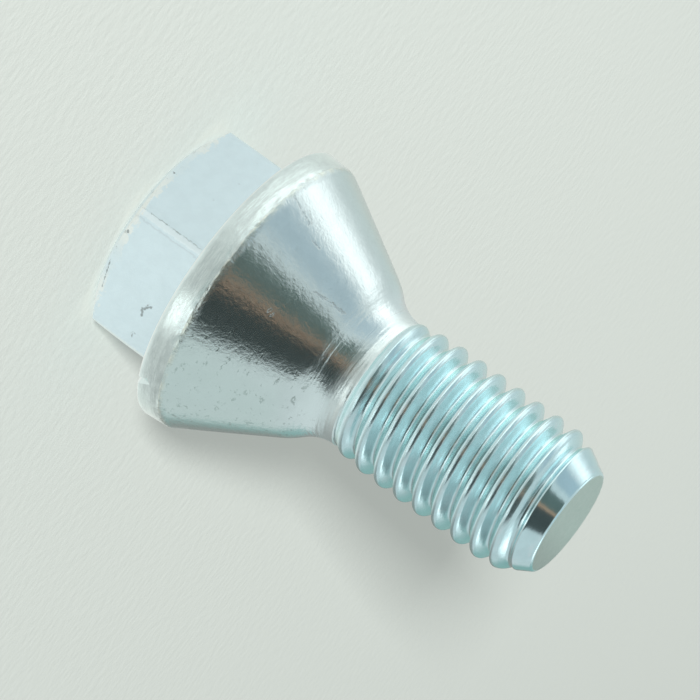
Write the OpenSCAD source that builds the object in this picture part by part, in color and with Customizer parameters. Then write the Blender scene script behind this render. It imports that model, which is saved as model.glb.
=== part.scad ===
// Wheel bolt with a hexagon head, a round collar, a 60 degree seat cone and a rolled M12 x 1.75 thread.
// It is cold forged and rolled from one bar, so it is one solid. Lengths are millimetres, angles degrees.
// The bolt stands on its head: z = 0 is the end of the hexagon and the thread points up.

/* [Hexagon] */
// Width across two opposite flats
hex_af = 16.9; // [14.5:0.1:19]
// Height of the hexagon, from its end to the collar
hex_h = 7.0; // [5:0.1:12]
// Radius of the six upright corners
hex_corner_r = 0.4; // [0.2:0.05:1.2]
// Diameter of the flat at the end of the hexagon
hex_end_d = 16.2; // [11:0.1:16.6]
// Slope of the chamfer round that flat
hex_chamfer = 30; // [15:1:45]

/* [Collar] */
// Largest diameter of the collar, on the hexagon side
collar_d = 23.4; // [22.4:0.1:27]
// Height of the collar's rim, with its rounded edges
collar_h = 2.05; // [1.2:0.05:4]
// Draft of the rim, which narrows towards the seat cone
rim_draft = 5; // [0:0.5:8]
// Rounding of the rim on the hexagon side
rim_r_head = 0.25; // [0.1:0.05:0.5]
// Rounding of the rim where the seat cone starts
rim_r_cone = 0.6; // [0.2:0.05:0.8]

/* [Seat cone] */
// Full angle of the seat cone
seat_angle = 60; // [50:1:90]
// Diameter of the plain neck between the cone and the thread
neck_d = 10.8; // [9.8:0.05:11]
// Length of the plain neck before the first groove
neck_h = 0.1; // [0.1:0.1:2]
// Radius of the hollow between the cone and the neck
neck_fillet = 1.5; // [0.5:0.1:5]

/* [Thread] */
// Crest diameter of the thread
thread_d = 11.75; // [11.4:0.05:12]
// Distance from one turn to the next
thread_pitch = 1.75; // [1.25:0.25:1.75]
// Rounding of the crest
crest_r = 0.34; // [0.1:0.02:0.4]
// Rounding of the root
root_r = 0.25; // [0.1:0.02:0.3]
// Length of the thread with its run-out, from the plain neck to the tip
thread_h = 17.4; // [12:0.1:18.5]
// Length over which the thread runs out towards the neck
runout_h = 3.4; // [1:0.1:6]
// Turn of the thread about the axis of the bolt
thread_turn = 150; // [0:1:360]

/* [Tip] */
// Diameter of the flat at the tip
tip_d = 8.55; // [7:0.05:9.5]
// Slope of the tip's chamfer against the axis
tip_chamfer = 30; // [20:1:45]
// How softly the thread runs into the chamfer
tip_blend = 0.25; // [0.05:0.05:0.4]

/* [Wear] */
// Width of the nick in the collar's rim
nick_w = 0.9; // [0.3:0.1:1.5]
// Depth of the nick
nick_depth = 0.42; // [0.12:0.05:0.62]
// Place of the nick round the collar
nick_turn = 352; // [0:1:360]

/* [Hidden] */
$fn = 96;
finish = [0.80, 0.87, 0.89];

collar_z = hex_h;
cone_z = collar_z + collar_h;
collar_r = collar_d / 2;
// Sharp corners between the rim and the cone and between the cone and the neck, before they are rounded
seat_r = collar_r - collar_h * tan(rim_draft);
neck_r = neck_d / 2;
neck_z = cone_z + (seat_r - neck_r) / tan(seat_angle / 2);
fillet_run = neck_fillet * tan(seat_angle / 4);
thread_z = neck_z + fillet_run + neck_h;

hex_corner_d = hex_af / cos(30);
corner_steps = 5;
arc_steps = 6;

// The thread's surface is a grid of rings: steps round a ring, and the distance between rings
ring_steps = 48;
ring_gap = 0.145;
ring_count = ceil(thread_h / ring_gap);
thread_r = thread_d / 2;
flank = 60;
thread_root_r = thread_r - thread_pitch / 2 * tan(flank) + crest_r + root_r;
// The lowest ring stands just outside the round end of the neck, so the two meet on one flat
joint_lip = 0.005;
joint_r = neck_r / cos(180 / ring_steps) + joint_lip;
tip_r = tip_d / 2;

// Points of an arc about a centre, from one angle to another
function arc(centre, radius, from, to, steps = arc_steps) =
    [for (i = [0:steps]) let (a = from + (to - from) * i / steps)
        centre + radius * [cos(a), sin(a)]];

// Arc that rounds a corner between two faces, given the directions that the faces look in
function rounding(corner, radius, from, to) =
    let (n = [cos(from) + cos(to), sin(from) + sin(to)])
        arc(corner - radius * n / (1 + cos(to - from)), radius, from, to);

// Radius of the full thread at a distance x from the middle of its crest
function groove(x) =
    x < crest_r * sin(flank) ? thread_r - crest_r + sqrt(crest_r ^ 2 - x ^ 2)
    : thread_pitch / 2 - x < root_r * sin(flank)
        ? thread_root_r + root_r - sqrt(root_r ^ 2 - (thread_pitch / 2 - x) ^ 2)
    : thread_r - crest_r * (1 - cos(flank)) - (x - crest_r * sin(flank)) * tan(flank);

// Distance along the axis from a point on the surface to the nearest crest; z counts from the neck
function crest_gap(z, a) =
    let (turns = z / thread_pitch - (a - thread_turn) / 360)
        abs(turns - round(turns)) * thread_pitch;

// Radius of the chamfer cone at the tip
function tip_cone(z) = tip_r + (thread_h - z) * tan(tip_chamfer);

// The smaller of two radii, with the corner between them softened
function softer(a, b) =
    let (t = min(1, max(0, 0.5 + (b - a) / 2 / tip_blend)))
        b + (a - b) * t - tip_blend * t * (1 - t);

// Surface of the threaded end: the thread rises out of the neck, soon at first, and ends in the chamfer
function bolt_r(z, a) =
    z <= 0 ? joint_r
    : softer(joint_r + (groove(crest_gap(z, a)) - joint_r) * sqrt(min(1, z / runout_h)), tip_cone(z));

module hexagon() {
    inner_r = hex_corner_d / 2 - hex_corner_r / cos(30);
    outline = [for (k = [0:5]) each
        arc(inner_r * [cos(60 * k - 90), sin(60 * k - 90)], hex_corner_r,
            60 * k - 120, 60 * k - 60, corner_steps)];
    chamfer_h = (hex_corner_d - hex_end_d) / 2 * tan(hex_chamfer);
    intersection() {
        linear_extrude(hex_h + collar_h / 2) polygon(outline);
        rotate_extrude() polygon([
            [0, 0], [hex_end_d / 2, 0], [hex_corner_d / 2, chamfer_h],
            [hex_corner_d / 2, hex_h + collar_h], [0, hex_h + collar_h]]);
    }
}

// Collar, seat cone and plain neck, turned about the axis
module collar_and_cone() {
    half = seat_angle / 2;
    rotate_extrude() polygon(concat(
        [[0, collar_z]],
        rounding([collar_r, collar_z], rim_r_head, -90, rim_draft),
        rounding([seat_r, cone_z], rim_r_cone, rim_draft, half),
        arc([neck_r + neck_fillet, neck_z + fillet_run], neck_fillet, 180 + half, 180),
        [[neck_r, thread_z], [0, thread_z]]));
}

// Threaded end, from the neck to the tip, as rings whose radius follows the groove
module thread() {
    rings = [for (j = [0:ring_count]) let (z = thread_h * j / ring_count)
        [for (i = [0:ring_steps - 1]) let (a = 360 * i / ring_steps, r = bolt_r(z, a))
            [r * cos(a), r * sin(a), z]]];
    points = [for (ring = rings) each ring];
    sides = [for (j = [0:ring_count - 1], i = [0:ring_steps - 1])
        let (n = (i + 1) % ring_steps, low = j * ring_steps, high = low + ring_steps)
            each [[low + i, high + i, high + n], [low + i, high + n, low + n]]];
    bottom = [for (i = [0:ring_steps - 1]) i];
    top = [for (i = [ring_steps - 1:-1:0]) ring_count * ring_steps + i];
    polyhedron(points, concat([bottom], sides, [top]), convexity = 10);
}

// Small nick in the rim, cut slantwise by one edge
module nick() {
    rotate(nick_turn) translate([collar_r, 0, collar_z]) rotate([20, 0, 0])
        translate([-nick_depth, 0, -nick_w]) linear_extrude(nick_w * 2)
            polygon([[0, 0], [nick_depth * 3, -nick_w], [nick_depth * 3, nick_w]]);
}

module wheel_bolt() {
    color(finish) difference() {
        union() {
            hexagon();
            collar_and_cone();
            translate([0, 0, thread_z]) thread();
        }
        nick();
    }
}

wheel_bolt();
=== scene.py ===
# Wheel bolt with a conical seat, bright zinc plated, standing on the end of its head.
# It is modelled in millimetres about the bolt's axis and brought to metres at the end.
import math

import bmesh
import bpy
from mathutils import Matrix, Vector, noise


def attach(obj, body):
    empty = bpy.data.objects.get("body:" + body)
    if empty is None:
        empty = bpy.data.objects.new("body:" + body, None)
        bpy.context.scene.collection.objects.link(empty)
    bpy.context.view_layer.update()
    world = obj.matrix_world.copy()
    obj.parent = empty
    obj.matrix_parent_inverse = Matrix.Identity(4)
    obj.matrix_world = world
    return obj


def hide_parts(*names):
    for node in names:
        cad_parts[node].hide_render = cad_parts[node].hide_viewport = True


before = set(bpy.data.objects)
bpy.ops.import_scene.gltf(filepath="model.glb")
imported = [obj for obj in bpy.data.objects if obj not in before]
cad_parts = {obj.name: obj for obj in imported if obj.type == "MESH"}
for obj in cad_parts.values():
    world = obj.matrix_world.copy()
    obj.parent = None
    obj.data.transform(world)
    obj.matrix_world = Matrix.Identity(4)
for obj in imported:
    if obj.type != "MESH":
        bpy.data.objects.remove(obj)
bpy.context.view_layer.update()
print("frame loaded:", sorted(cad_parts))

scene = bpy.context.scene
scene.view_settings.view_transform = "Standard"


# Small helpers for modelling

def deselectAll():
    if bpy.context.object and bpy.context.object.mode != "OBJECT":
        bpy.ops.object.mode_set(mode="OBJECT")
    bpy.ops.object.select_all(action="DESELECT")


def makeActive(piece):
    deselectAll()
    piece.select_set(True)
    bpy.context.view_layer.objects.active = piece


def startEdit(piece, kind="VERT"):
    makeActive(piece)
    bpy.ops.object.mode_set(mode="EDIT")
    bpy.ops.mesh.select_mode(type=kind)
    bpy.ops.mesh.select_all(action="DESELECT")
    return bmesh.from_edit_mesh(piece.data)


def endEdit():
    bpy.ops.object.mode_set(mode="OBJECT")


def pick(piece, elements, test):
    for element in elements:
        element.select_set(test(element))
    bmesh.update_edit_mesh(piece.data)


def applyModifier(piece, kind, name, **settings):
    makeActive(piece)
    modifier = piece.modifiers.new(name, kind)
    for key, value in settings.items():
        setattr(modifier, key, value)
    bpy.ops.object.modifier_apply(modifier=name)


def cutBy(piece, other, operation):
    applyModifier(piece, "BOOLEAN", operation.title(), object=other, operation=operation, solver="EXACT")
    bpy.data.objects.remove(other)


def ease(x, start, end):
    t = min(1.0, max(0.0, (x - start) / (end - start)))
    return t * t * (3 - 2 * t)


def arcPoints(centre, radius, startAngle, endAngle, steps):
    points = []
    for i in range(steps + 1):
        angle = math.radians(startAngle + (endAngle - startAngle) * i / steps)
        points.append((centre[0] + radius * math.cos(angle), centre[1] + radius * math.sin(angle)))
    return points


def rounding(corner, radius, startAngle, endAngle, steps):
    # Arc that rounds a corner between two faces, given the directions that the faces look in
    start, end = math.radians(startAngle), math.radians(endAngle)
    reach = radius / (1 + math.cos(end - start))
    centre = (corner[0] - reach * (math.cos(start) + math.cos(end)),
              corner[1] - reach * (math.sin(start) + math.sin(end)))
    return arcPoints(centre, radius, startAngle, endAngle, steps)


def linePoints(start, end, steps):
    # The points between two ends, without the ends
    return [(start[0] + (end[0] - start[0]) * i / steps, start[1] + (end[1] - start[1]) * i / steps)
            for i in range(1, steps)]


def turnedPiece(name, stations, steps):
    # A cylinder whose end face is extruded and scaled from station to station, each a radius and a height
    (firstRadius, firstZ), (nextRadius, nextZ) = stations[:2]
    bpy.ops.mesh.primitive_cylinder_add(vertices=steps, radius=firstRadius, depth=nextZ - firstZ,
                                        location=(0, 0, (firstZ + nextZ) / 2))
    piece = bpy.context.object
    piece.name = name
    bpy.ops.object.transform_apply(location=True, rotation=True, scale=True)
    mesh = startEdit(piece, "FACE")
    pick(piece, mesh.faces, lambda face: face.normal.z > 0.9)
    bpy.ops.transform.resize(value=(nextRadius / firstRadius, nextRadius / firstRadius, 1),
                             center_override=(0, 0, nextZ))
    for (oldRadius, oldZ), (radius, z) in zip(stations[1:], stations[2:]):
        bpy.ops.mesh.extrude_region_move(TRANSFORM_OT_translate={"value": (0, 0, z - oldZ)})
        ratio = radius / oldRadius
        bpy.ops.transform.resize(value=(ratio, ratio, 1), center_override=(0, 0, z))
    endEdit()
    return piece


# Hexagon head: six flats, rounded upright corners and a turned chamfer round the end

hexagon = {
    "acrossFlats": 16.9,
    "height": 7.0,
    "overlap": 0.9,           # how far it reaches into the collar
    "cornerRadius": 0.75,
    "endWidth": 16.2,
    "endRounding": (0.12, 0.05),  # inwards and upwards
    "chamferAngle": 36,
    "wornCornerEnd": 0.5,     # half the width of the flattened corner at the end of the head
    "wornCornerCollar": 0.26,
    "wornCornerEdge": 0.1,
    "frontY": -9.2,           # only the corner towards the viewer lies in front of this
}


def isUpright(edge):
    return abs(edge.verts[0].co.z - edge.verts[1].co.z) > 1


def isFront(edge):
    return (edge.verts[0].co.y + edge.verts[1].co.y) / 2 < hexagon["frontY"]


def makeHexagon():
    tan30 = math.tan(math.radians(30))
    cornerWidth = hexagon["acrossFlats"] / math.cos(math.radians(30))
    top = hexagon["height"] + hexagon["overlap"]
    bpy.ops.mesh.primitive_cylinder_add(vertices=6, radius=cornerWidth / 2, depth=top,
                                        location=(0, 0, top / 2))
    piece = bpy.context.object
    piece.name = "hexagonHead"
    bpy.ops.object.transform_apply(location=True, rotation=True, scale=True)
    mesh = startEdit(piece, "EDGE")
    pick(piece, mesh.edges, lambda edge: isUpright(edge) and not isFront(edge))
    bpy.ops.mesh.bevel(offset=hexagon["cornerRadius"] * tan30, segments=6, profile=0.5, affect="EDGES")
    # The corner towards the viewer is worn flat, more so at the end of the head
    mesh = bmesh.from_edit_mesh(piece.data)
    pick(piece, mesh.edges, lambda edge: isUpright(edge) and isFront(edge))
    bpy.ops.mesh.bevel(offset=hexagon["wornCornerEnd"], segments=1, affect="EDGES")
    mesh = bmesh.from_edit_mesh(piece.data)
    shrink = hexagon["wornCornerCollar"] / hexagon["wornCornerEnd"]
    for vertex in mesh.verts:
        if vertex.co.y < hexagon["frontY"] and vertex.co.z > 1:
            pullIn = vertex.co.x * (shrink - 1)
            vertex.co.x += pullIn
            vertex.co.y -= abs(pullIn) * tan30
    pick(piece, mesh.edges, lambda edge: isUpright(edge) and isFront(edge))
    bpy.ops.mesh.bevel(offset=hexagon["wornCornerEdge"], segments=3, profile=0.5, affect="EDGES")
    endEdit()
    # A turned blank, wide enough to clear the corners, gives the end its chamfer
    slope = math.tan(math.radians(hexagon["chamferAngle"]))
    endRadius = hexagon["endWidth"] / 2
    inset, lift = hexagon["endRounding"]
    outer = cornerWidth / 2 + 0.5
    blank = turnedPiece("chamferedBlank", [
        (endRadius - inset, 0), (endRadius, lift), (outer, (outer - endRadius) * slope),
        (outer, top + 1)], 144)
    cutBy(piece, blank, "INTERSECT")
    print("hexagon head:", len(piece.data.polygons), "faces")
    return piece


# Collar, seat cone and neck, turned about the axis

collar = {
    "width": 23.4,
    "height": 2.05,
    "draft": 5,               # the rim narrows towards the cone
    "rimRadiusHead": 0.25,
    "rimRadiusCone": 0.6,
    "burr": 0.045,            # how far the worn edge between rim and cone wanders
    "burrReach": 0.55,        # how far above and below the edge it shows
    "wave": 0.006,
    "drawnIn": 0.004,         # keeps the waves inside the solid
    "wornBelow": 17,          # above this height the cone is turned clean
    "steps": 320,
}
cone = {
    "angle": 60,
    "neckWidth": 10.7,
    "shoulderZ": 16.75,       # from here the cone dips more steeply into the hollow above the neck
    "shoulderAngle": 39,
    "shoulderRadius": 6,
    "hollowRadius": 3.7,
    "threadZ": 20.153,        # where the hollow ends and the thread starts
}
collarZ = hexagon["height"]
coneZ = collarZ + collar["height"]
neckRadius = cone["neckWidth"] / 2
seatRadius = collar["width"] / 2 - collar["height"] * math.tan(math.radians(collar["draft"]))
shoulderRadius = seatRadius - (cone["shoulderZ"] - coneZ) * math.tan(math.radians(cone["angle"] / 2))
threadZ = cone["threadZ"]


def makeCollarAndCone():
    half = cone["angle"] / 2
    headArc = rounding((collar["width"] / 2, collarZ), collar["rimRadiusHead"], -89, collar["draft"], 5)
    coneArc = rounding((seatRadius, coneZ), collar["rimRadiusCone"], collar["draft"], half, 5)
    shoulder = rounding((shoulderRadius, cone["shoulderZ"]), cone["shoulderRadius"], half,
                        cone["shoulderAngle"], 4)
    hollow = arcPoints((neckRadius + cone["hollowRadius"], threadZ), cone["hollowRadius"],
                       180 + cone["shoulderAngle"], 180, 14)
    stations = headArc + linePoints(headArc[-1], coneArc[0], 7) + coneArc
    stations += linePoints(coneArc[-1], shoulder[0], 36) + shoulder
    stations += linePoints(shoulder[-1], hollow[0], 2) + hollow
    piece = turnedPiece("collarAndCone", stations, collar["steps"])
    mesh = startEdit(piece)
    for vertex in mesh.verts:
        x, y, z = vertex.co
        distance = math.hypot(x, y)
        if z > collar["wornBelow"]:
            continue
        place = Vector((x, y, z * 1.6))
        # The edge between rim and cone is battered, and the cone waves a little
        edge = 1 - min(1.0, abs(z - coneZ + 0.1) / collar["burrReach"])
        rough = noise.noise(place * 1.7) + 0.8 * noise.noise(place * 3.9 + Vector((9, 2, 5)))
        dent = collar["burr"] * edge * (0.55 + rough)
        wave = collar["wave"] * ease(z, coneZ, coneZ + 1) * (noise.noise(place * 0.5) - 0.5)
        moved = distance - max(0.0, dent) + wave - collar["drawnIn"]
        vertex.co.x = x * moved / distance
        vertex.co.y = y * moved / distance
    bmesh.update_edit_mesh(piece.data)
    endEdit()
    print("collar and cone:", len(piece.data.polygons), "faces")
    return piece


# Thread: a line swept up a helix, shaped to crests and roots, with a run-out and a chamfered tip

thread = {
    "width": 11.75,
    "pitch": 1.75,
    "crestRadius": 0.34,
    "rootRadius": 0.25,
    "flankAngle": 60,
    "length": 17.4,
    "runOut": 3.4,
    "turn": 150,              # where the crest starts round the axis
    "tipWidth": 8.55,
    "tipChamfer": 30,
    "tipBlend": 0.45,         # how softly the thread runs into the chamfer
    "tipEdge": 0.12,          # height of the small rounding between the chamfer and the end face
    # The end face, slightly dished: each ring as its distances from the edge and below the tip
    "tipRings": [(0.02, 0.05), (0.12, 0.008), (0.28, 0), (0.7, 0.01), (1.6, 0.03)],
    "neckGap": 0.05,          # bridged when neck and thread are joined
    "turnsBelow": 2,          # swept below the neck and cut off again
    "rowsPerPitch": 24,
    "steps": 160,
}
tipZ = threadZ + thread["length"]


def grooveRadius(gap):
    # Radius of the full thread at a distance along the axis from the middle of its crest
    slope = math.tan(math.radians(thread["flankAngle"]))
    sine = math.sin(math.radians(thread["flankAngle"]))
    cosine = math.cos(math.radians(thread["flankAngle"]))
    crest, root, pitch = thread["crestRadius"], thread["rootRadius"], thread["pitch"]
    outer = thread["width"] / 2
    inner = outer - pitch / 2 * slope + crest + root
    if gap < crest * sine:
        return outer - crest + math.sqrt(crest ** 2 - gap ** 2)
    if pitch / 2 - gap < root * sine:
        return inner + root - math.sqrt(root ** 2 - (pitch / 2 - gap) ** 2)
    return outer - crest * (1 - cosine) - (gap - crest * sine) * slope


def threadRadius(z, angle):
    # The height counts from the start of the thread, and the angle is in degrees
    turns = z / thread["pitch"] - (angle - thread["turn"]) / 360
    gap = abs(turns - round(turns)) * thread["pitch"]
    share = math.sqrt(min(1.0, max(0.0, z / thread["runOut"])))
    rolled = neckRadius + (grooveRadius(gap) - neckRadius) * share
    chamfer = thread["tipWidth"] / 2 + (thread["length"] - z) * math.tan(math.radians(thread["tipChamfer"]))
    blend = thread["tipBlend"]
    part = min(1.0, max(0.0, 0.5 + (chamfer - rolled) / 2 / blend))
    return chamfer + (rolled - chamfer) * part - blend * part * (1 - part)


def makeThread():
    pitch, rows = thread["pitch"], thread["rowsPerPitch"]
    startZ = threadZ - pitch * (thread["turnsBelow"] + thread["turn"] / 360)
    turns = math.ceil((tipZ - startZ) / pitch)
    # One upright edge of a plane, cut into rows, is the line that is swept
    bpy.ops.mesh.primitive_plane_add(size=1, location=(0, 0, 0))
    piece = bpy.context.object
    piece.name = "threadedShank"
    mesh = startEdit(piece)
    pick(piece, mesh.verts, lambda vertex: vertex.co.x < 0)
    bpy.ops.mesh.delete(type="VERT")
    mesh = bmesh.from_edit_mesh(piece.data)
    for vertex, z in zip(mesh.verts, (startZ, startZ + turns * pitch)):
        vertex.co = Vector((thread["width"] / 2, 0, z))
    bmesh.update_edit_mesh(piece.data)
    bpy.ops.mesh.select_all(action="SELECT")
    bpy.ops.mesh.subdivide(number_cuts=turns - 1)
    bpy.ops.mesh.subdivide(number_cuts=rows - 1)
    endEdit()
    applyModifier(piece, "SCREW", "Helix", angle=math.radians(360), screw_offset=pitch, iterations=1,
                  steps=thread["steps"], render_steps=thread["steps"], use_merge_vertices=False)
    startEdit(piece)
    bpy.ops.mesh.select_all(action="SELECT")
    bpy.ops.mesh.remove_doubles(threshold=0.002)
    edgeZ = tipZ - thread["tipEdge"]
    bpy.ops.mesh.bisect(plane_co=(0, 0, threadZ + thread["neckGap"]), plane_no=(0, 0, 1), clear_inner=True)
    bpy.ops.mesh.select_all(action="SELECT")
    bpy.ops.mesh.bisect(plane_co=(0, 0, edgeZ), plane_no=(0, 0, 1), clear_outer=True)
    mesh = bmesh.from_edit_mesh(piece.data)
    for vertex in mesh.verts:
        angle = math.degrees(math.atan2(vertex.co.y, vertex.co.x))
        radius = threadRadius(vertex.co.z - threadZ, angle)
        scale = radius / math.hypot(vertex.co.x, vertex.co.y)
        vertex.co.x *= scale
        vertex.co.y *= scale
    bmesh.update_edit_mesh(piece.data)
    # The open edge at the tip is drawn in, ring by ring, to the end face
    pick(piece, mesh.edges, lambda edge: edge.is_boundary and edge.verts[0].co.z > tipZ - 1)
    path = [(threadRadius(thread["length"] - thread["tipEdge"], 0), edgeZ)]
    path += [(thread["tipWidth"] / 2 - inward, tipZ - down) for inward, down in thread["tipRings"]]
    for (oldRadius, oldZ), (radius, z) in zip(path, path[1:]):
        bpy.ops.mesh.extrude_edges_move(TRANSFORM_OT_translate={"value": (0, 0, z - oldZ)})
        ratio = radius / oldRadius
        bpy.ops.transform.resize(value=(ratio, ratio, 1), center_override=(0, 0, z))
    bpy.ops.mesh.edge_face_add()
    endEdit()
    print("thread:", len(piece.data.polygons), "faces")
    return piece


def joinShank(body, shank):
    # The end of the neck is opened and bridged to the start of the thread, so both are one skin
    mesh = startEdit(body, "FACE")
    pick(body, mesh.faces, lambda face: face.normal.z > 0.9 and face.calc_center_median().z > threadZ - 0.1)
    bpy.ops.mesh.delete(type="FACE")
    endEdit()
    makeActive(body)
    shank.select_set(True)
    bpy.ops.object.join()
    mesh = startEdit(body, "EDGE")
    pick(body, mesh.edges, lambda edge: edge.is_boundary)
    bpy.ops.mesh.bridge_edge_loops()
    bpy.ops.mesh.select_all(action="SELECT")
    bpy.ops.mesh.normals_make_consistent(inside=False)
    endEdit()
    return body


# Marks of use: a nick in the rim

wear = {
    "nickTurn": 330,
    "nickDepth": 0.62,
    "nickWidth": 1.9,
    "nickLean": 32,
    "cutterLength": 2.2,
}


def makeNickCutter():
    # A leaning triangular prism with one edge towards the axis
    radius = wear["nickWidth"] * 0.75
    bpy.ops.mesh.primitive_cylinder_add(vertices=3, radius=radius, depth=wear["cutterLength"],
                                        location=(0, 0, 0))
    piece = bpy.context.object
    piece.name = "nickCutter"
    turn = Matrix.Rotation(math.radians(wear["nickTurn"]), 4, "Z")
    place = Matrix.Translation((collar["width"] / 2 - wear["nickDepth"] + radius, 0, collarZ))
    lean = Matrix.Rotation(math.radians(wear["nickLean"]), 4, "X")
    point = Matrix.Rotation(math.radians(90), 4, "Z")
    piece.data.transform(turn @ place @ lean @ point)
    return piece


def makeWheelBolt():
    head = makeHexagon()
    body = joinShank(makeCollarAndCone(), makeThread())
    cutBy(body, head, "UNION")
    cutBy(body, makeNickCutter(), "DIFFERENCE")
    body.name = "wheelBolt"
    body.data.name = "wheelBolt"
    startEdit(body)
    bpy.ops.mesh.select_all(action="SELECT")
    bpy.ops.mesh.remove_doubles(threshold=0.001)
    bpy.ops.mesh.normals_make_consistent(inside=False)
    bpy.ops.transform.resize(value=(0.001, 0.001, 0.001), center_override=(0, 0, 0))
    endEdit()
    makeActive(body)
    bpy.ops.object.shade_smooth_by_angle(angle=math.radians(32))
    print("wheel bolt:", len(body.data.vertices), "vertices")
    return body


# Zinc finishes, with some painted highlights and shade. The patterns are read in millimetres from the
# piece's own coordinates

finish = {
    "hexagon": {
        "color": (0.73, 0.89, 0.94), "tint": (0.77, 0.94, 0.92),
        "roughness": 0.34, "metallic": 0.975, "mottle": 0.03,
        # The dark line along the worn corner is a painted shadow
        "corner": (0.84, 0.97, 1.0), "cornerShadowLine": (0.22, 0.27, 0.26), "cornerShade": (0.40, 0.46, 0.50),
        # The pale chamfer colour is a painted highlight
        "chamfer": (0.93, 0.97, 0.90), "fleck": (0.36, 0.42, 0.40), "mark": (0.28, 0.33, 0.34),
    },
    "rim": {
        "color": (0.77, 0.90, 0.89), "tint": (0.76, 0.94, 0.87),
        "roughness": 0.19, "metallic": 0.98, "mottle": 0.06,
        # The edge colour is a painted highlight along the rim beside the hexagon
        "worn": (0.58, 0.67, 0.68), "edge": (0.97, 0.99, 0.97), "speck": (0.34, 0.38, 0.36),
    },
    "cone": {
        "color": (0.76, 0.88, 0.88), "tint": (0.68, 0.91, 0.84),
        "roughness": 0.18, "neckRoughness": 0.34, "metallic": 0.99, "mottle": 0.04,
        # The lower side colour is painted shade, and the neck colour painted light
        "pit": (0.36, 0.44, 0.42), "lowerSideShade": (0.64, 0.80, 0.76), "neck": (0.86, 0.99, 0.99),
        # The edge colour is partly a painted sheen
        "scratch": (0.42, 0.48, 0.49), "edge": (0.84, 0.92, 0.82),
    },
    "thread": {
        "color": (0.66, 0.88, 0.92), "tint": (0.65, 0.93, 0.87),
        "roughness": 0.25, "chamferRoughness": 0.14, "metallic": 0.98, "mottle": 0.06,
        "patch": (0.82, 0.84, 0.88), "speck": (0.38, 0.42, 0.40),
        "chamferLength": 2.2,     # from the tip, turned and therefore glossier than the rolled thread
    },
    "tip": {
        "color": (0.55, 0.69, 0.64), "tint": (0.52, 0.66, 0.58),
        "roughness": 0.40, "metallic": 0.98, "mottle": 0.06,
        # The lower side colour is painted shade
        "lowerSideShade": (0.36, 0.45, 0.40),
    },
}
# Scratches on the cone: where each starts and ends, as turns from the front and heights, and its width
scratches = [
    ((-19, 14.5), (-21, 15.6), 0.10),
    ((-21, 15.6), (-23, 16.8), 0.12),
    ((-41, 9.3), (-40, 10.1), 0.11),
    ((-40, 10.4), (-39, 11.2), 0.14),
    ((-43, 10.6), (-40, 11.3), 0.08),
    ((-35, 12.1), (-36, 12.8), 0.09),
    ((2.5, 12.9), (0.5, 13.0), 0.07),
    ((3, 13.2), (1, 13.3), 0.07),
]
# Marks on the flats of the hexagon: start, end and width in millimetres
flatMarks = [
    ((5.35, -6.67, 4.8), (5.75, -6.44, 4.35), 0.12),
    ((5.75, -6.44, 4.35), (6.15, -6.21, 4.5), 0.09),
    ((7.5, -5.43, 4.6), (7.8, -5.26, 4.5), 0.10),
    ((4.18, -7.34, 0.43), (6.17, -6.19, 0.77), 0.05),
    ((1.94, -8.64, 0.69), (2.1, -8.5, 0.75), 0.08),
    ((-3.5, -7.74, 0.55), (-3.45, -7.74, 0.65), 0.09),
]


class Nodes:
    # A short way to add shader nodes and join them; a value is a number, a colour, a socket or a node
    def __init__(self, material):
        material.use_nodes = True
        self.tree = material.node_tree
        self.shader = self.tree.nodes["Principled BSDF"]
        self.output = self.tree.nodes["Material Output"]
        self.coordinates = self.tree.nodes.new("ShaderNodeTexCoord")
        self.millimetres = self.add("ShaderNodeMapping", Vector=self.coordinates.outputs["Object"],
                                    Scale=(1000, 1000, 1000))

    def add(self, kind, settings=None, **inputs):
        node = self.tree.nodes.new(kind)
        for key, value in (settings or {}).items():
            setattr(node, key, value)
        for key, value in inputs.items():
            self.put(node, key.replace("_", " "), value)
        return node

    def put(self, node, key, value):
        socket = node.inputs[key]
        if isinstance(value, bpy.types.Node):
            value = value.outputs[0]
        if isinstance(value, bpy.types.NodeSocket):
            self.tree.links.new(value, socket)
        elif socket.type == "RGBA":
            socket.default_value = (*value, 1)
        else:
            socket.default_value = value

    def fill(self, node, *values):
        # Puts the values into the first inputs, in order
        for key, value in enumerate(values):
            self.put(node, key, value)
        return node

    def math(self, operation, *values):
        return self.fill(self.add("ShaderNodeMath", {"operation": operation}), *values)

    def vector(self, operation, *values):
        return self.fill(self.add("ShaderNodeVectorMath", {"operation": operation}), *values)

    def chain(self, operation, first, *others):
        for other in others:
            first = self.math(operation, first, other)
        return first

    def times(self, *values):
        return self.chain("MULTIPLY", *values)

    def plus(self, *values):
        return self.chain("ADD", *values)

    def largest(self, *values):
        return self.chain("MAXIMUM", *values)

    def noise(self, scale, detail=3, roughness=0.5, vector=None):
        return self.add("ShaderNodeTexNoise", Vector=vector or self.millimetres, Scale=scale,
                        Detail=detail, Roughness=roughness)

    def stretched(self, around, upward):
        # Coordinates for patterns that run round the axis: slow round it, quick along it
        return self.add("ShaderNodeMapping", Vector=self.millimetres, Scale=(around, around, upward))

    def span(self, value, low, high, toLow, toHigh):
        return self.add("ShaderNodeMapRange", {"interpolation_type": "SMOOTHSTEP"}, Value=value,
                        From_Min=low, From_Max=high, To_Min=toLow, To_Max=toHigh)

    def band(self, value, start, full, fading, end):
        # Rises from 0 to 1 and falls back to 0
        return self.times(self.span(value, start, full, 0, 1), self.span(value, end, fading, 0, 1))

    def mixValues(self, factor, first, second):
        node = self.add("ShaderNodeMix", A=first, B=second)
        self.put(node, 0, factor)
        return node.outputs[0]

    def mixColors(self, factor, first, second):
        # A mix node has its two colours as inputs 6 and 7, and their mixture as output 2
        node = self.add("ShaderNodeMix", {"data_type": "RGBA"})
        for key, value in ((0, factor), (6, first), (7, second)):
            self.put(node, key, value)
        return node.outputs[2]

    def mixShaders(self, factor, first, second):
        return self.fill(self.add("ShaderNodeMixShader"), factor, first, second)


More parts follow.
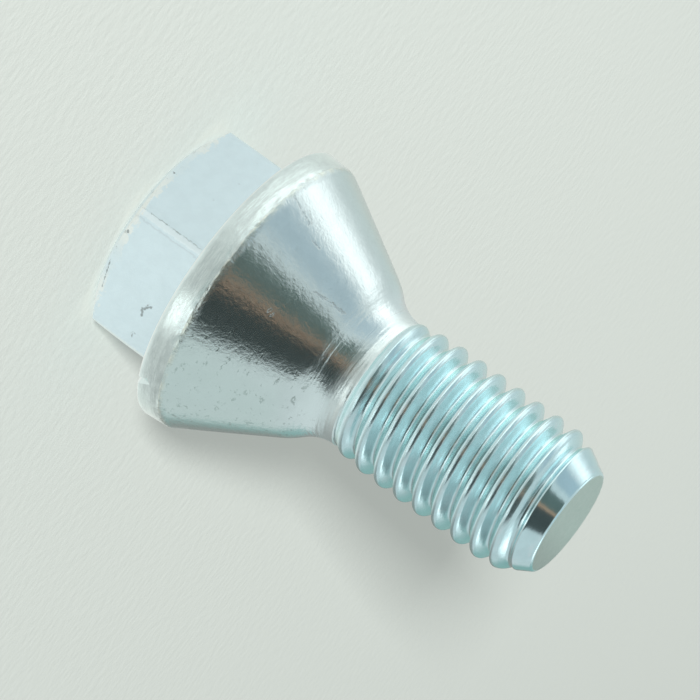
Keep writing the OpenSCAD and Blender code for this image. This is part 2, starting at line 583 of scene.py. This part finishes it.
def zincMaterial(name, look):
    # Bright zinc: a cloudy base colour that turns greener where the surface is seen at a glancing angle
    material = bpy.data.materials.new(name)
    nodes = Nodes(material)
    # Not quite metallic: a thin film of dust lifts the darkest reflections
    nodes.put(nodes.shader, "Metallic", look["metallic"])
    cloud = nodes.span(nodes.noise(0.9, 4, 0.6), 0.35, 0.65, 0, 1)
    darker = tuple(channel * (1 - look["mottle"]) for channel in look["color"])
    color = nodes.mixColors(cloud, darker, look["color"])
    facing = nodes.add("ShaderNodeLayerWeight", Blend=0.4)
    glancing = nodes.span(facing.outputs["Facing"], 0.35, 0.95, 0, 0.85)
    return material, nodes, nodes.mixColors(glancing, color, look["tint"])


def roughenUnevenly(nodes, roughness):
    fine = nodes.noise(3.5, 3, 0.6)
    nodes.put(nodes.shader, "Roughness", nodes.span(fine, 0.3, 0.7, roughness * 0.85, roughness * 1.15))


def finishWith(nodes, color, height, strength):
    nodes.put(nodes.shader, "Base Color", color)
    nodes.put(nodes.shader, "Normal",
              nodes.add("ShaderNodeBump", Strength=strength, Distance=0.0001, Height=height))


def lineMask(nodes, start, end, width, ragged=0.8):
    # 1 on a short straight mark and 0 beside it, with a ragged edge
    along = end - start
    offset = nodes.vector("SUBTRACT", nodes.millimetres, start)
    share = nodes.vector("DOT_PRODUCT", offset, along / along.length_squared)
    reach = nodes.vector("SCALE", along)
    nodes.put(reach, "Scale", nodes.add("ShaderNodeClamp", Value=share.outputs["Value"]))
    distance = nodes.vector("LENGTH", nodes.vector("SUBTRACT", offset, reach))
    rough = nodes.span(nodes.noise(3.2, 3, 0.7), 0.35, 0.65, -width * ragged, width * ragged)
    return nodes.span(nodes.plus(distance.outputs["Value"], rough), width, width * 0.4, 0, 1)


def onCone(turn, z):
    # A place on the cone, turned from the camera's side
    radius = seatRadius - (z - coneZ) * math.tan(math.radians(cone["angle"] / 2))
    return direction(turn + viewpoint["azimuth"], 0) * radius + Vector((0, 0, z))


def makeHexagonFinish():
    look = finish["hexagon"]
    material, nodes, color = zincMaterial("zincSatin", look)
    roughenUnevenly(nodes, look["roughness"])
    parts = nodes.add("ShaderNodeSeparateXYZ", Vector=nodes.millimetres)
    across, depth = parts.outputs["X"], parts.outputs["Y"]
    # The worn corner at the front is paler than the flats, with a painted shadow along its upper side: a
    # dark ragged line
    wander = nodes.span(nodes.noise(2.4, 4, 0.75), 0.3, 0.7, -0.07, 0.07)
    shifted = nodes.plus(across, wander)
    front = nodes.span(depth, -8.6, -8.9, 0, 1)
    strip = nodes.times(nodes.band(shifted, -0.04, 0.02, 0.34, 0.48), front, 0.75)
    color = nodes.mixColors(strip, color, look["corner"])
    broken = nodes.span(nodes.noise(1.6, 3, 0.7), 0.38, 0.6, 0, 0.7)
    paintedShadowLine = nodes.times(nodes.band(shifted, -0.11, -0.07, -0.04, 0), front, broken)
    color = nodes.mixColors(paintedShadowLine, color, look["cornerShadowLine"])
    # Pale ragged strips, a painted highlight, with dark flecks where the chamfer meets the flats
    fromAxis = nodes.plus(nodes.times(across, across), nodes.times(depth, depth))     # squared
    ragged = nodes.span(nodes.noise(1.3, 4, 0.7), 0.3, 0.7, -0.35, 0.35)
    level = nodes.plus(parts.outputs["Z"], ragged)
    paintedChamferLight = nodes.times(nodes.span(level, 1.1, 0.8, 0, 1), nodes.span(fromAxis, 70, 76, 0, 0.6))
    color = nodes.mixColors(paintedChamferLight, color, look["chamfer"])
    atEdge = nodes.times(nodes.span(level, 0.95, 0.6, 0, 1), nodes.span(fromAxis, 70, 74, 0, 1))
    fleck = nodes.times(nodes.span(nodes.noise(2.6, 4, 0.75), 0.56, 0.62, 0, 0.75), atEdge)
    color = nodes.mixColors(fleck, color, look["fleck"])
    # A faint shade along the lower side of the worn corner
    shade = nodes.times(nodes.band(shifted, 0.55, 0.62, 0.66, 0.74), front, 0.22)
    color = nodes.mixColors(shade, color, look["cornerShade"])
    marks = [lineMask(nodes, Vector(start), Vector(end), width, 1.0) for start, end, width in flatMarks]
    marked = nodes.largest(nodes.span(nodes.noise(1.9, 5, 0.72), 0.69, 0.75, 0, 0.6), *marks)
    color = nodes.mixColors(nodes.times(marked, 0.8), color, look["mark"])
    finishWith(nodes, color, nodes.noise(5, 4, 0.7), 0.2)
    return material


def makeRimFinish():
    look = finish["rim"]
    material, nodes, color = zincMaterial("zincRim", look)
    roughenUnevenly(nodes, look["roughness"])
    parts = nodes.add("ShaderNodeSeparateXYZ", Vector=nodes.millimetres)
    # Streaks that run round the rim, and a painted highlight: the paler line of its edge beside the hexagon
    streaks = nodes.noise(1, 3, 0.6, nodes.stretched(0.35, 2.6))
    height = nodes.plus(nodes.times(streaks, 0.9), nodes.times(nodes.noise(3.2, 4, 0.7), 0.3))
    tone = nodes.span(nodes.noise(1, 4, 0.65, nodes.stretched(0.6, 2.2)), 0.42, 0.66, 0, 0.3)
    color = nodes.mixColors(tone, color, look["worn"])
    edge = nodes.span(parts.outputs["Z"], collarZ + 0.22, collarZ + 0.1, 0, 0.5)
    color = nodes.mixColors(edge, color, look["edge"])
    speck = nodes.span(nodes.noise(2.1, 5, 0.72), 0.66, 0.73, 0, 0.6)
    color = nodes.mixColors(speck, color, look["speck"])
    finishWith(nodes, color, height, 0.17)
    return material


def makeConeFinish():
    look = finish["cone"]
    material, nodes, color = zincMaterial("zincBright", look)
    parts = nodes.add("ShaderNodeSeparateXYZ", Vector=nodes.millimetres)
    across, z = parts.outputs["X"], parts.outputs["Z"]
    # Turning lines, strongest just above the neck
    lines = nodes.noise(1, 1.0, 0.5, nodes.stretched(0.35, 4.6))
    ridges = nodes.times(lines, nodes.span(z, 15.8, 18.2, 0.04, 0.8))
    peel = nodes.times(nodes.noise(1.9, 3, 0.6), 0.50)
    grain = nodes.times(nodes.noise(4.5, 4, 0.7), 0.26)
    height = nodes.plus(ridges, peel, grain)
    # Small pits, mostly on the lower side
    pit = nodes.span(nodes.noise(1, 3, 0.7, nodes.stretched(1.3, 2.6)), 0.57, 0.68, 0, 1)
    pit = nodes.times(pit, nodes.span(across, 2.0, 4, 0.12, 1))
    color = nodes.mixColors(nodes.times(pit, 0.85), color, look["pit"])
    height = nodes.math("SUBTRACT", height, nodes.times(pit, 0.15))
    # Painted shade makes the lower side a little duller and greener; a painted light makes the neck paler,
    # and it is matter there
    paintedLowerShade = nodes.times(nodes.span(across, 3, 7, 0, 0.5), nodes.span(z, 17.5, 15.5, 0, 1))
    color = nodes.mixColors(paintedLowerShade, color, look["lowerSideShade"])
    color = nodes.mixColors(nodes.span(z, 16.8, 18.4, 0, 0.8), color, look["neck"])
    nodes.put(nodes.shader, "Roughness",
              nodes.span(z, 18.1, 19.4, look["roughness"], look["neckRoughness"]))
    marks = [lineMask(nodes, onCone(*start), onCone(*end), width) for start, end, width in scratches]
    scratched = nodes.largest(*marks)
    color = nodes.mixColors(nodes.times(scratched, 0.35), color, look["scratch"])
    height = nodes.math("SUBTRACT", height, nodes.times(scratched, 0.4))
    # The battered edge above the rim is paler, a little yellow and rougher: the battered metal, with a
    # painted sheen in its colour
    edge = nodes.span(z, coneZ + 0.30, coneZ + 0.05, 0, 1)
    edge = nodes.times(edge, nodes.span(nodes.noise(1.2, 3, 0.6), 0.4, 0.6, 0.1, 0.6))
    color = nodes.mixColors(edge, color, look["edge"])
    battered = nodes.times(nodes.noise(3.4, 4, 0.75), nodes.span(z, coneZ + 0.5, coneZ + 0.1, 0, 1.3))
    finishWith(nodes, color, nodes.plus(height, battered), 0.45)
    return material


def makeThreadFinish():
    look = finish["thread"]
    material, nodes, color = zincMaterial("zincThread", look)
    # The passivate shifts a little towards pink in patches
    patch = nodes.span(nodes.noise(0.8, 3, 0.6, nodes.stretched(0.5, 1.6)), 0.52, 0.72, 0, 0.3)
    color = nodes.mixColors(patch, color, look["patch"])
    speck = nodes.span(nodes.noise(2.3, 5, 0.72), 0.69, 0.74, 0, 0.6)
    color = nodes.mixColors(speck, color, look["speck"])
    lines = nodes.noise(1, 2, 0.6, nodes.stretched(0.4, 5.0))
    height = nodes.plus(nodes.times(lines, 0.5), nodes.times(nodes.noise(4.0, 3, 0.65), 0.18))
    z = nodes.add("ShaderNodeSeparateXYZ", Vector=nodes.millimetres).outputs["Z"]
    turned = tipZ - look["chamferLength"]
    nodes.put(nodes.shader, "Roughness",
              nodes.span(z, turned, turned + 0.7, look["roughness"], look["chamferRoughness"]))
    finishWith(nodes, color, nodes.times(height, nodes.span(z, turned, turned + 0.7, 1, 0.4)), 0.35)
    return material


def makeTipFinish():
    look = finish["tip"]
    material, nodes, color = zincMaterial("zincTip", look)
    roughenUnevenly(nodes, look["roughness"])
    across = nodes.add("ShaderNodeSeparateXYZ", Vector=nodes.millimetres).outputs["X"]
    # Painted shade: the lower side of the tip is darker
    color = nodes.mixColors(nodes.span(across, 0, 4, 0, 0.75), color, look["lowerSideShade"])
    finishWith(nodes, color, nodes.noise(6.0, 3, 0.6), 0.2)
    return material


def finishAt(x, y, z):
    # Which finish a place on the bolt has, as a number in the list of its materials
    distance = math.hypot(x, y)
    if tipZ - z < 0.01 or (tipZ - z < 0.06 and distance < thread["tipWidth"] / 2 - 0.3):
        return 4
    if z > threadZ + 0.1:
        return 3
    if z > coneZ - 0.12:
        return 2
    if z > collarZ - 0.01 and distance > 9.4:
        return 1
    return 0


# Stage: pale paper, a key light beside the camera, and cards that only the metal reflects

viewpoint = {
    "azimuth": 2.5,
    "elevation": 15.615,
    "roll": 125.905,
    "distance": 0.3045,
    "aim": (-0.00097, 0.002017, 0.01631),     # in metres, as the distance is
    "lens": 213.37,
}
stage = {
    "middle": (0, 0, 0.018),  # the light and the cards stand round this place on the bolt's axis
    "floorColor": (0.60, 0.635, 0.592),
    # Painted shade: the floor colour darkens towards the lower side of the picture
    "floorShade": 0.90,       # how dark the paper becomes towards the lower side of the picture
    "floorTooth": 0.13,
    "floorGlow": 0.20,        # the part of the floor's brightness that holds in shade
    "floorGlowColor": (0.95, 1, 0.94),
    # How bright the metal sees the floor: close by and far off, each left and right, then other patches
    "floorNear": (0.80, 0.89),
    "floorFar": (0.72, 0.50),
    "floorFront": 0.45,
    "floorBack": (0.62, 0.30),
    "floorWindow": 0.8,
    "floorHot": 1.5,
    "floorHotPlace": (52, -59, 0),
    "floorMirrored": (1, 1, 0.97),
    "worldColor": (0.95, 1.0, 1.0),
    "worldStrength": 0.66,
    "worldFill": 0.40,        # the part of the world's light that reaches the floor
    "keyPower": 115,
    "keyPlace": (-4.4, 14, 2.4),  # azimuth, elevation and distance
    "keySize": 0.17,
}
# Cards: name, azimuths, elevations, colour, strength, soft edges (left, right, low, high) and distance.
# The first seven are reflected by the cone and the tip: the dark side of the room, with a warm streak
# and a pale foot, then the window on the left. The last four are the room behind the bolt, reflected by
# the flanks that face the tip
cards = [
    ("roomGrey", (-36, 10), (-3, 74), (0.08, 0.115, 0.105), 1, (0.14, 0.02, 0.04, 0.12), 0.52),
    ("roomDark", (5, 58), (-3, 74), (0.024, 0.034, 0.033), 1, (0.04, 0.12, 0.04, 0.12), 0.50),
    ("roomWarm", (-2, 8), (-3, 74), (0.46, 0.26, 0.16), 1, (0.3, 0.3, 0.04, 0.12), 0.48),
    ("roomLow", (-70, 75), (-4, 9), (0.58, 0.62, 0.60), 1, (0.2, 0.2, 0.1, 0.6), 0.46),
    ("roomSpark", (24, 56), (-5, 9), (0.97, 1, 1), 1.8, (0.5, 0.45, 0.1, 0.5), 0.45),
    ("haze", (-90, -44), (-3, 70), (0.42, 0.50, 0.55), 1, (0.3, 0.2, 0.1, 0.3), 0.56),
    ("window", (-132, -76), (-3, 46), (1, 1, 1), 1.4, (0.55, 0.5, 0.1, 0.4), 0.5),
    ("backLeft", (-160, -128), (30, 60), (0.95, 1, 1), 1.8, (0.45, 0.45, 0.4, 0.4), 0.54),
    ("backRight", (116, 162), (30, 72), (0.95, 1, 1), 1.9, (0.4, 0.45, 0.35, 0.4), 0.54),
    ("backTop", (150, 210), (60, 89), (0.50, 0.67, 0.72), 1, (0.3, 0.3, 0.3, 0.02), 0.58),
    ("backLow", (136, 180), (-3, 34), (0.27, 0.42, 0.41), 1, (0.3, 0.3, 0.05, 0.4), 0.58),
]


def direction(azimuth, elevation):
    # Azimuth counts from -Y towards +X
    turn, rise = math.radians(azimuth), math.radians(elevation)
    return Vector((math.cos(rise) * math.sin(turn), -math.cos(rise) * math.cos(turn), math.sin(rise)))


def pointAt(azimuth, elevation, distance):
    # Here azimuth counts from the camera's side towards the right of the bolt
    return direction(azimuth + viewpoint["azimuth"], elevation) * distance + Vector(stage["middle"])


def cardMaterial(name, color, strength, soft):
    # A glow that fades out towards the four edges of the card
    material = bpy.data.materials.new(name)
    nodes = Nodes(material)
    parts = nodes.add("ShaderNodeSeparateXYZ", Vector=nodes.coordinates.outputs["UV"])
    across, up = parts.outputs["X"], parts.outputs["Y"]
    left, right, low, high = soft
    level = nodes.times(nodes.span(across, 0, left, 0, 1), nodes.span(across, 1 - right, 1, 1, 0),
                        nodes.span(up, 0, low, 0, 1), nodes.span(up, 1 - high, 1, 1, 0))
    glow = nodes.add("ShaderNodeEmission", Color=color, Strength=strength)
    clear = nodes.add("ShaderNodeBsdfTransparent")
    nodes.put(nodes.output, "Surface", nodes.mixShaders(level, clear, glow))
    return material


def addCard(name, azimuths, elevations, color, strength, soft, distance):
    # A curved patch of a sphere round the bolt, seen by reflections only
    bpy.ops.mesh.primitive_grid_add(x_subdivisions=24, y_subdivisions=8, size=1)
    piece = bpy.context.object
    piece.name = name
    for vertex in piece.data.vertices:
        across, up = vertex.co.x + 0.5, vertex.co.y + 0.5
        azimuth = azimuths[0] + (azimuths[1] - azimuths[0]) * across
        elevation = elevations[0] + (elevations[1] - elevations[0]) * up
        vertex.co = pointAt(azimuth, elevation, distance)
    piece.data.materials.append(cardMaterial(name, color, strength, soft))
    piece.visible_camera = False
    piece.visible_diffuse = False
    piece.visible_shadow = False
    piece.visible_transmission = False


def makeFloor():
    bpy.ops.mesh.primitive_plane_add(size=6, location=(0, 0, 0))
    floor = bpy.context.object
    floor.name = "floor"
    material = bpy.data.materials.new("floor")
    nodes = Nodes(material)
    parts = nodes.add("ShaderNodeSeparateXYZ", Vector=nodes.millimetres)
    across, depth = parts.outputs["X"], parts.outputs["Y"]
    # Painted shade: the paper is darker towards +X, the lower side of the picture
    darker = tuple(channel * stage["floorShade"] for channel in stage["floorColor"])
    paperWithPaintedShade = nodes.mixColors(nodes.span(across, -45, 40, 0, 1), stage["floorColor"], darker)
    nodes.put(nodes.shader, "Base Color", paperWithPaintedShade)
    nodes.put(nodes.shader, "Specular IOR Level", 0)
    nodes.put(nodes.shader, "Roughness", 1)
    nodes.put(nodes.shader, "Emission Color", stage["floorGlowColor"])
    nodes.put(nodes.shader, "Emission Strength", stage["floorGlow"])
    tooth = nodes.add("ShaderNodeBump", Strength=stage["floorTooth"], Distance=0.0004,
                      Height=nodes.noise(0.9, 4, 0.6))
    nodes.put(nodes.shader, "Normal", tooth)
    # The metal sees a floor of its own, with the light and dark patches of the room
    near = nodes.span(across, -12, 12, *stage["floorNear"])
    far = nodes.span(across, -60, 60, *stage["floorFar"])
    beside = nodes.span(nodes.math("ABSOLUTE", across), 30, 75, 1, 0)
    front = nodes.times(nodes.span(depth, -88, -106, 0, 1), beside)
    far = nodes.mixValues(front, far, stage["floorFront"])
    behind = nodes.span(across, -20, 20, *stage["floorBack"])
    far = nodes.mixValues(nodes.span(depth, 8, 50, 0, 1), far, behind)
    away = nodes.vector("LENGTH", nodes.millimetres)
    level = nodes.mixValues(nodes.span(away.outputs["Value"], 22, 62, 0, 1), near, far)
    window = nodes.times(nodes.span(across, -38, -85, 0, stage["floorWindow"]),
                         nodes.span(depth, 75, 25, 0, 1))
    fromHot = nodes.vector("DISTANCE", nodes.millimetres, stage["floorHotPlace"])
    hot = nodes.span(fromHot.outputs["Value"], 33, 8, 0, stage["floorHot"])
    mirrored = nodes.add("ShaderNodeEmission", Color=stage["floorMirrored"],
                         Strength=nodes.plus(level, window, hot))
    path = nodes.add("ShaderNodeLightPath")
    nodes.put(nodes.output, "Surface",
              nodes.mixShaders(path.outputs["Is Glossy Ray"], nodes.shader, mirrored))
    floor.data.materials.append(material)


def makeKeyLight():
    bpy.ops.object.light_add(type="AREA", location=pointAt(*stage["keyPlace"]))
    key = bpy.context.object
    key.name = "softKey"
    key.data.shape = "SQUARE"
    key.data.size = stage["keySize"]
    key.data.energy = stage["keyPower"]
    key.rotation_euler = (Vector(stage["middle"]) - key.location).to_track_quat("-Z", "Y").to_euler()
    key.visible_glossy = False


def makeWorld():
    world = bpy.data.worlds.new("studio")
    world.use_nodes = True
    tree = world.node_tree
    background = tree.nodes["Background"]
    background.inputs["Color"].default_value = (*stage["worldColor"], 1)
    lightPath = tree.nodes.new("ShaderNodeLightPath")
    fill = tree.nodes.new("ShaderNodeMapRange")
    fill.inputs["To Min"].default_value = stage["worldStrength"]
    fill.inputs["To Max"].default_value = stage["worldFill"]
    tree.links.new(lightPath.outputs["Is Diffuse Ray"], fill.inputs["Value"])
    tree.links.new(fill.outputs[0], background.inputs["Strength"])
    scene.world = world


def makeCamera():
    # Camera at the photograph's angle
    cameraData = bpy.data.cameras.new("photoCamera")
    camera = bpy.data.objects.new("photoCamera", cameraData)
    scene.collection.objects.link(camera)
    cameraData.lens = viewpoint["lens"]
    cameraData.clip_start = 0.01
    outward = direction(viewpoint["azimuth"], viewpoint["elevation"])
    camera.location = Vector(viewpoint["aim"]) + outward * viewpoint["distance"]
    turn = Matrix.Rotation(math.radians(viewpoint["azimuth"]), 3, "Z")
    tilt = Matrix.Rotation(math.radians(90 - viewpoint["elevation"]), 3, "X")
    roll = Matrix.Rotation(math.radians(viewpoint["roll"]), 3, "Z")
    camera.rotation_euler = (turn @ tilt @ roll).to_euler()
    scene.camera = camera


wheelBolt = makeWheelBolt()
for makeFinish in (makeHexagonFinish, makeRimFinish, makeConeFinish, makeThreadFinish, makeTipFinish):
    wheelBolt.data.materials.append(makeFinish())
for face in wheelBolt.data.polygons:
    face.material_index = finishAt(*(face.center * 1000))
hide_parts("wheel_bolt")
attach(wheelBolt, "root")
print("finishes set")

deselectAll()
makeFloor()
for settings in cards:
    addCard(*settings)
deselectAll()
makeKeyLight()
makeWorld()
makeCamera()
print("stage and camera set")
